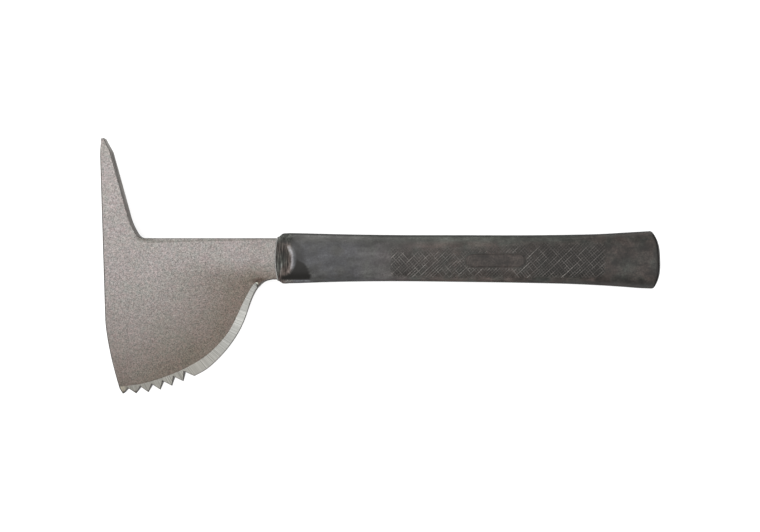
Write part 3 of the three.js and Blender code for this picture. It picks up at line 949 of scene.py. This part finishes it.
def from_rounded_box(points, low, high, corner):
    """How far points are inside a box with rounded corners, below 0 outside it."""
    middle, half = (np.array(low) + high) / 2, (np.array(high) - low) / 2
    beyond = np.abs(points - middle) - (half - corner)
    return corner - norm(np.maximum(beyond, 0), axis=-1) - np.minimum(beyond.max(-1), 0)


def below_top(points):
    """How far points are below the panel's top border, which is lower at the front."""
    top = PANEL_HIGH - PANEL_SHOULDER * rise(points[..., 0], 180, 110)
    return top - points[..., 1]


def panel_depth(points):
    box = from_rounded_box(points, (PANEL_START, PANEL_LOW), (PANEL_END, PANEL_HIGH), PANEL_CORNER)
    return np.minimum(box, below_top(points))


def pad_depth(points):
    low, high = (PAD_START, PAD_MIDDLE - PAD_HALF), (PAD_END, PAD_MIDDLE + PAD_HALF)
    return from_rounded_box(points, low, high, PAD_HALF)


def on_skin(skin, points):
    """Where points of the drawing land on the grip's upper side, and which way the skin faces there."""
    spots, ways = [], []
    for x, y in points:
        spot, way, _, _ = skin.ray_cast(Vector((x, y, REACH)), Vector((0, 0, -1)))
        spots.append(spot)
        ways.append(way)
    return np.array(spots), np.array(ways)


def rib_stretches(points):
    """The stretches of a line that lie in the panel and clear of the pad, with the room to their ends."""
    room = np.minimum(panel_depth(points), -PAD_MARGIN - pad_depth(points))
    borders = np.flatnonzero(np.diff(room > 0)) + 1
    runs = np.split(np.arange(len(room)), borders)
    return [(points[run], room[run]) for run in runs if room[run[0]] > 0 and len(run) > 2]


def rib_wear_and_highlight(chance, stretch, strength):
    """How pale a rib's crest is along its length, from rubbing and painted highlight: uneven, palest at the
    front, faded at the panel's top.
    """
    knots = np.arange(0, len(stretch) * RIB_STEP + WEAR_STEP, WEAR_STEP)
    wear_and_highlight = np.interp(np.arange(len(stretch)) * RIB_STEP, knots, chance.uniform(0.05, 0.95, len(knots)))
    wear_and_highlight *= strength * chance.uniform(0.45, 0.95) * smooth(below_top(stretch) / FADE)
    wear_and_highlight *= 1.36 - 0.36 * rise(stretch[:, 0], 110, 140) - 0.08 * rise(stretch[:, 0], 165, 190)
    by_pad = bell(pad_depth(stretch) + 1.2, 0.9) * (stretch[:, 1] < PAD_MIDDLE)
    return np.minimum(wear_and_highlight + 0.14 * by_pad, 1)


def rib_mesh(skin, points, room, size, wear_and_highlight, base):
    """One rib's points, faces and crest values, which match the skin's film near the panel's top."""
    height, foot, crest = size
    spots, ways = on_skin(skin, points)
    ahead = np.gradient(spots, axis=0)
    ahead /= norm(ahead, axis=1, keepdims=True)
    across = np.cross(ahead, ways)
    across /= norm(across, axis=1, keepdims=True)
    taper = smooth(room / RIB_TAPER)[:, None]
    lift = height * taper
    corners = [
        spots - across * foot / 2 - ways * RIB_SINK,
        spots - across * crest / 2 + ways * lift,
        spots + across * crest / 2 + ways * lift,
        spots + across * foot / 2 - ways * RIB_SINK,
    ]
    mesh_points = np.stack(corners, 1).reshape(-1, 3)
    faces = []
    last = base + (len(spots) - 1) * 4
    for row in range(base, last, 4):
        faces.extend(band(row + 4, row, 4))
    faces.append([base, base + 1, base + 2, base + 3])
    faces.append([last + 3, last + 2, last + 1, last])
    film = TOP_FILM * (1 - smooth(below_top(points) / 8))
    values = np.tile([0.0, 1.0, 1.0, 0.0], len(spots)) * np.repeat(taper[:, 0] * wear_and_highlight, 4)
    return mesh_points, faces, np.maximum(values, np.repeat(film, 4))


def build_checkering(skin, material):
    """Two families of raised ribs on each side of the grip, every other one bolder."""
    middle = np.array([PANEL_START + PANEL_END, PANEL_LOW + PANEL_HIGH]) / 2
    reach = PANEL_END - PANEL_START
    runs = np.arange(-reach, reach, RIB_STEP)
    points, faces, crests, total = [], [], [], 0
    chance = np.random.default_rng(WEAR_SEED)
    for angle, strength in zip(RIB_ANGLES, RIB_WEAR_AND_HIGHLIGHT):
        turn = math.radians(angle)
        way = np.array([math.cos(turn), math.sin(turn)])
        aside = np.array([-way[1], way[0]])
        lines = int(reach / RIB_PITCH)
        for line in range(-lines, lines + 1):
            track = middle + aside * line * RIB_PITCH + way * runs[:, None]
            for stretch, room in rib_stretches(track):
                size = BOLD_RIB if line % 2 == 0 else FINE_RIB
                wear_and_highlight = rib_wear_and_highlight(chance, stretch, strength)
                rib_points, rib_faces, values = rib_mesh(skin, stretch, room, size, wear_and_highlight, total)
                points.append(rib_points)
                faces.extend(rib_faces)
                crests.append(values)
                total += len(rib_points)
    both, both_faces = mirrored(np.vstack(points), faces)
    add_piece(
        "grip_checkering", both, both_faces, [material],
        values={"crest": np.concatenate(crests)}, sharp=30,
    )


def build_pads(skin, material):
    """The plain oval pad in the checkering on each side, a little proud of the skin, with painted shade
    round its rim.
    """
    straight = (PAD_END - PAD_START) / 2 - PAD_HALF
    centre = (PAD_START + PAD_END) / 2
    flat = []
    for up in np.linspace(-1, 1, PAD_LINES):
        width = straight + PAD_HALF * math.sqrt(max(1 - up * up, 0))
        places = centre + np.linspace(-1, 1, PAD_COLUMNS) * width
        flat.extend((place, PAD_MIDDLE + up * PAD_HALF) for place in places)
    flat = np.array(flat)
    spots, ways = on_skin(skin, flat)
    room = pad_depth(flat)
    top = spots + ways * PAD_HEIGHT * np.sqrt(smooth(room / PAD_ROUNDING))[:, None]
    bottom = spots - ways * PAD_SINK
    total = len(flat)
    grid = np.arange(total).reshape(PAD_LINES, PAD_COLUMNS)
    squares = np.stack([grid[:-1, :-1], grid[:-1, 1:], grid[1:, 1:], grid[1:, :-1]], -1).reshape(-1, 4)
    faces = [*squares.tolist(), *(squares[:, ::-1] + total).tolist()]
    border = [*grid[0], *grid[1:, -1], *grid[-1, -2::-1], *grid[-2:0:-1, 0]]
    for start, end in zip(border, border[1:] + border[:1]):
        faces.append([start + total, end + total, end, start])
    points, both_faces = mirrored(np.vstack([top, bottom]), faces)
    # Painted shade: thinner film round the pad's rim, most at its rear end.
    rim = 1 - smooth(room / 1.3)
    past_end = np.abs(flat[:, 0] - centre) - straight
    dark = np.where(flat[:, 0] > centre, 0.5, 0.15) * smooth((past_end + 2) / 4) + 0.1 * (flat[:, 1] > 0)
    add_piece(
        "grip_pads", points, both_faces, [material],
        values={"haze_and_painted_light": PAD_HAZE * (1 - dark * rim)},
    )


# ---- Bead ----

BEAD = [  # x, half height above and below, half thickness
    (-0.85, 14.2, 14.85, 4.55), (-0.6, 14.5, 15.15, 4.85), (0.0, 14.65, 15.3, 5.1),
    (0.15, 14.5, 15.15, 4.9), (0.15, 13.97, 14.62, 4.29), (-0.85, 13.97, 14.62, 4.29),
]


def build_bead(material):
    """A rounded bead of adhesive round the grip's mouth: a closed band, outside then inside."""
    rings = [handle_ring(*sizes, 14, bow=2) for sizes in BEAD]
    faces = []
    for ring, next_ring in closed_edges(0, len(rings)):
        faces.extend(band(ring * AROUND, next_ring * AROUND, AROUND))
    add_piece("mouth_seal", np.vstack(rings), faces, [material], "mouth_bead")


# ---- Stage, lights and camera ----

CAMERA_DISTANCE = 0.48  # above the plate's mid-plane
CAMERA_PLACE = (-0.0002, -0.0001)
VIEW_WIDTH = 0.5163  # width seen at the mid-plane
SENSOR = 36
FLOOR_HALF = 3.0
FLOOR_GLOW = 0.78  # the floor is a softly lit table, so that shadows on it are faint


def add_floor():
    corners = [(x * FLOOR_HALF, y * FLOOR_HALF, 0) for x, y in ((-1, -1), (1, -1), (1, 1), (-1, 1))]
    mesh = bpy.data.meshes.new("floor")
    mesh.from_pydata(corners, [], [(0, 1, 2, 3)])
    floor = in_scene("floor", mesh)
    look = Look("light_table", Roughness=0.9, Specular_IOR_Level=0.0, Emission_Strength=FLOOR_GLOW)
    tone = look.spread(look.noise(400), 0.3, 0.7)
    mesh.materials.append(look.finish(look.blend(tone, (0.20, 0.20, 0.20), (0.21, 0.21, 0.21))))


def add_softbox(name, place, size, brightness):
    """A square soft light aimed at the tool, as bright to look at as brightness says."""
    light = bpy.data.lights.new(name, "AREA")
    light.shape = "SQUARE"
    light.size = size
    light.energy = brightness * math.pi * size**2
    lamp = in_scene(name, light)
    lamp.location = place
    lamp.rotation_mode = "QUATERNION"
    lamp.rotation_quaternion = (-Vector(place)).to_track_quat("-Z", "Y")


def add_lights():
    add_softbox("key", (-0.66, 0.5, 1.25), 0.9, 7.0)
    add_softbox("ceiling", (0, 0, 1.8), 3.0, 2.3)
    add_softbox("right_fill", (1.05, -0.35, 1.0), 0.8, 3.0)
    world = bpy.data.worlds.new("studio")
    bpy.context.scene.world = world
    world.use_nodes = True
    background = world.node_tree.nodes["Background"]
    background.inputs["Color"].default_value = (1.0, 0.975, 0.95, 1)
    background.inputs["Strength"].default_value = 0.93


def add_camera():
    data = bpy.data.cameras.new("camera")
    data.sensor_width = SENSOR
    data.lens = SENSOR * CAMERA_DISTANCE / VIEW_WIDTH
    data.clip_start = 0.01
    camera = in_scene("camera", data)
    camera.location = (*CAMERA_PLACE, ZERO[2] + CAMERA_DISTANCE)
    bpy.context.scene.camera = camera
    bpy.context.scene.view_settings.view_transform = "Standard"


def dress(nodes, material):
    for name in nodes:
        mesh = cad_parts[name].data
        mesh.materials.clear()
        mesh.materials.append(material)


add_camera()
add_floor()
add_lights()
build_head([
    blasted_steel(),
    ground_steel(),
    # The edges' dark colours are partly scale and partly painted shade.
    cut_and_shaded_steel("cut_and_shaded_steel", (0.035, 0.031, 0.027), (0.125, 0.113, 0.102), (0.07, 0.062, 0.055)),
    cut_and_shaded_steel("scaled_and_shaded_steel", (0.033, 0.03, 0.027), (0.06, 0.055, 0.05), (0.047, 0.041, 0.037)),
])
grip_skin = build_grip([rubber(f"grip_rubber_{step}", gloss) for step, gloss in enumerate(GLOSSES)])
build_checkering(grip_skin, rib_rubber())
build_pads(grip_skin, rubber("grip_pad_rubber", greenness=0.15, coarseness=1.5))
build_bead(sealant())
dress(CORES, nylon())
dress(RIVETS, zinc_plate())
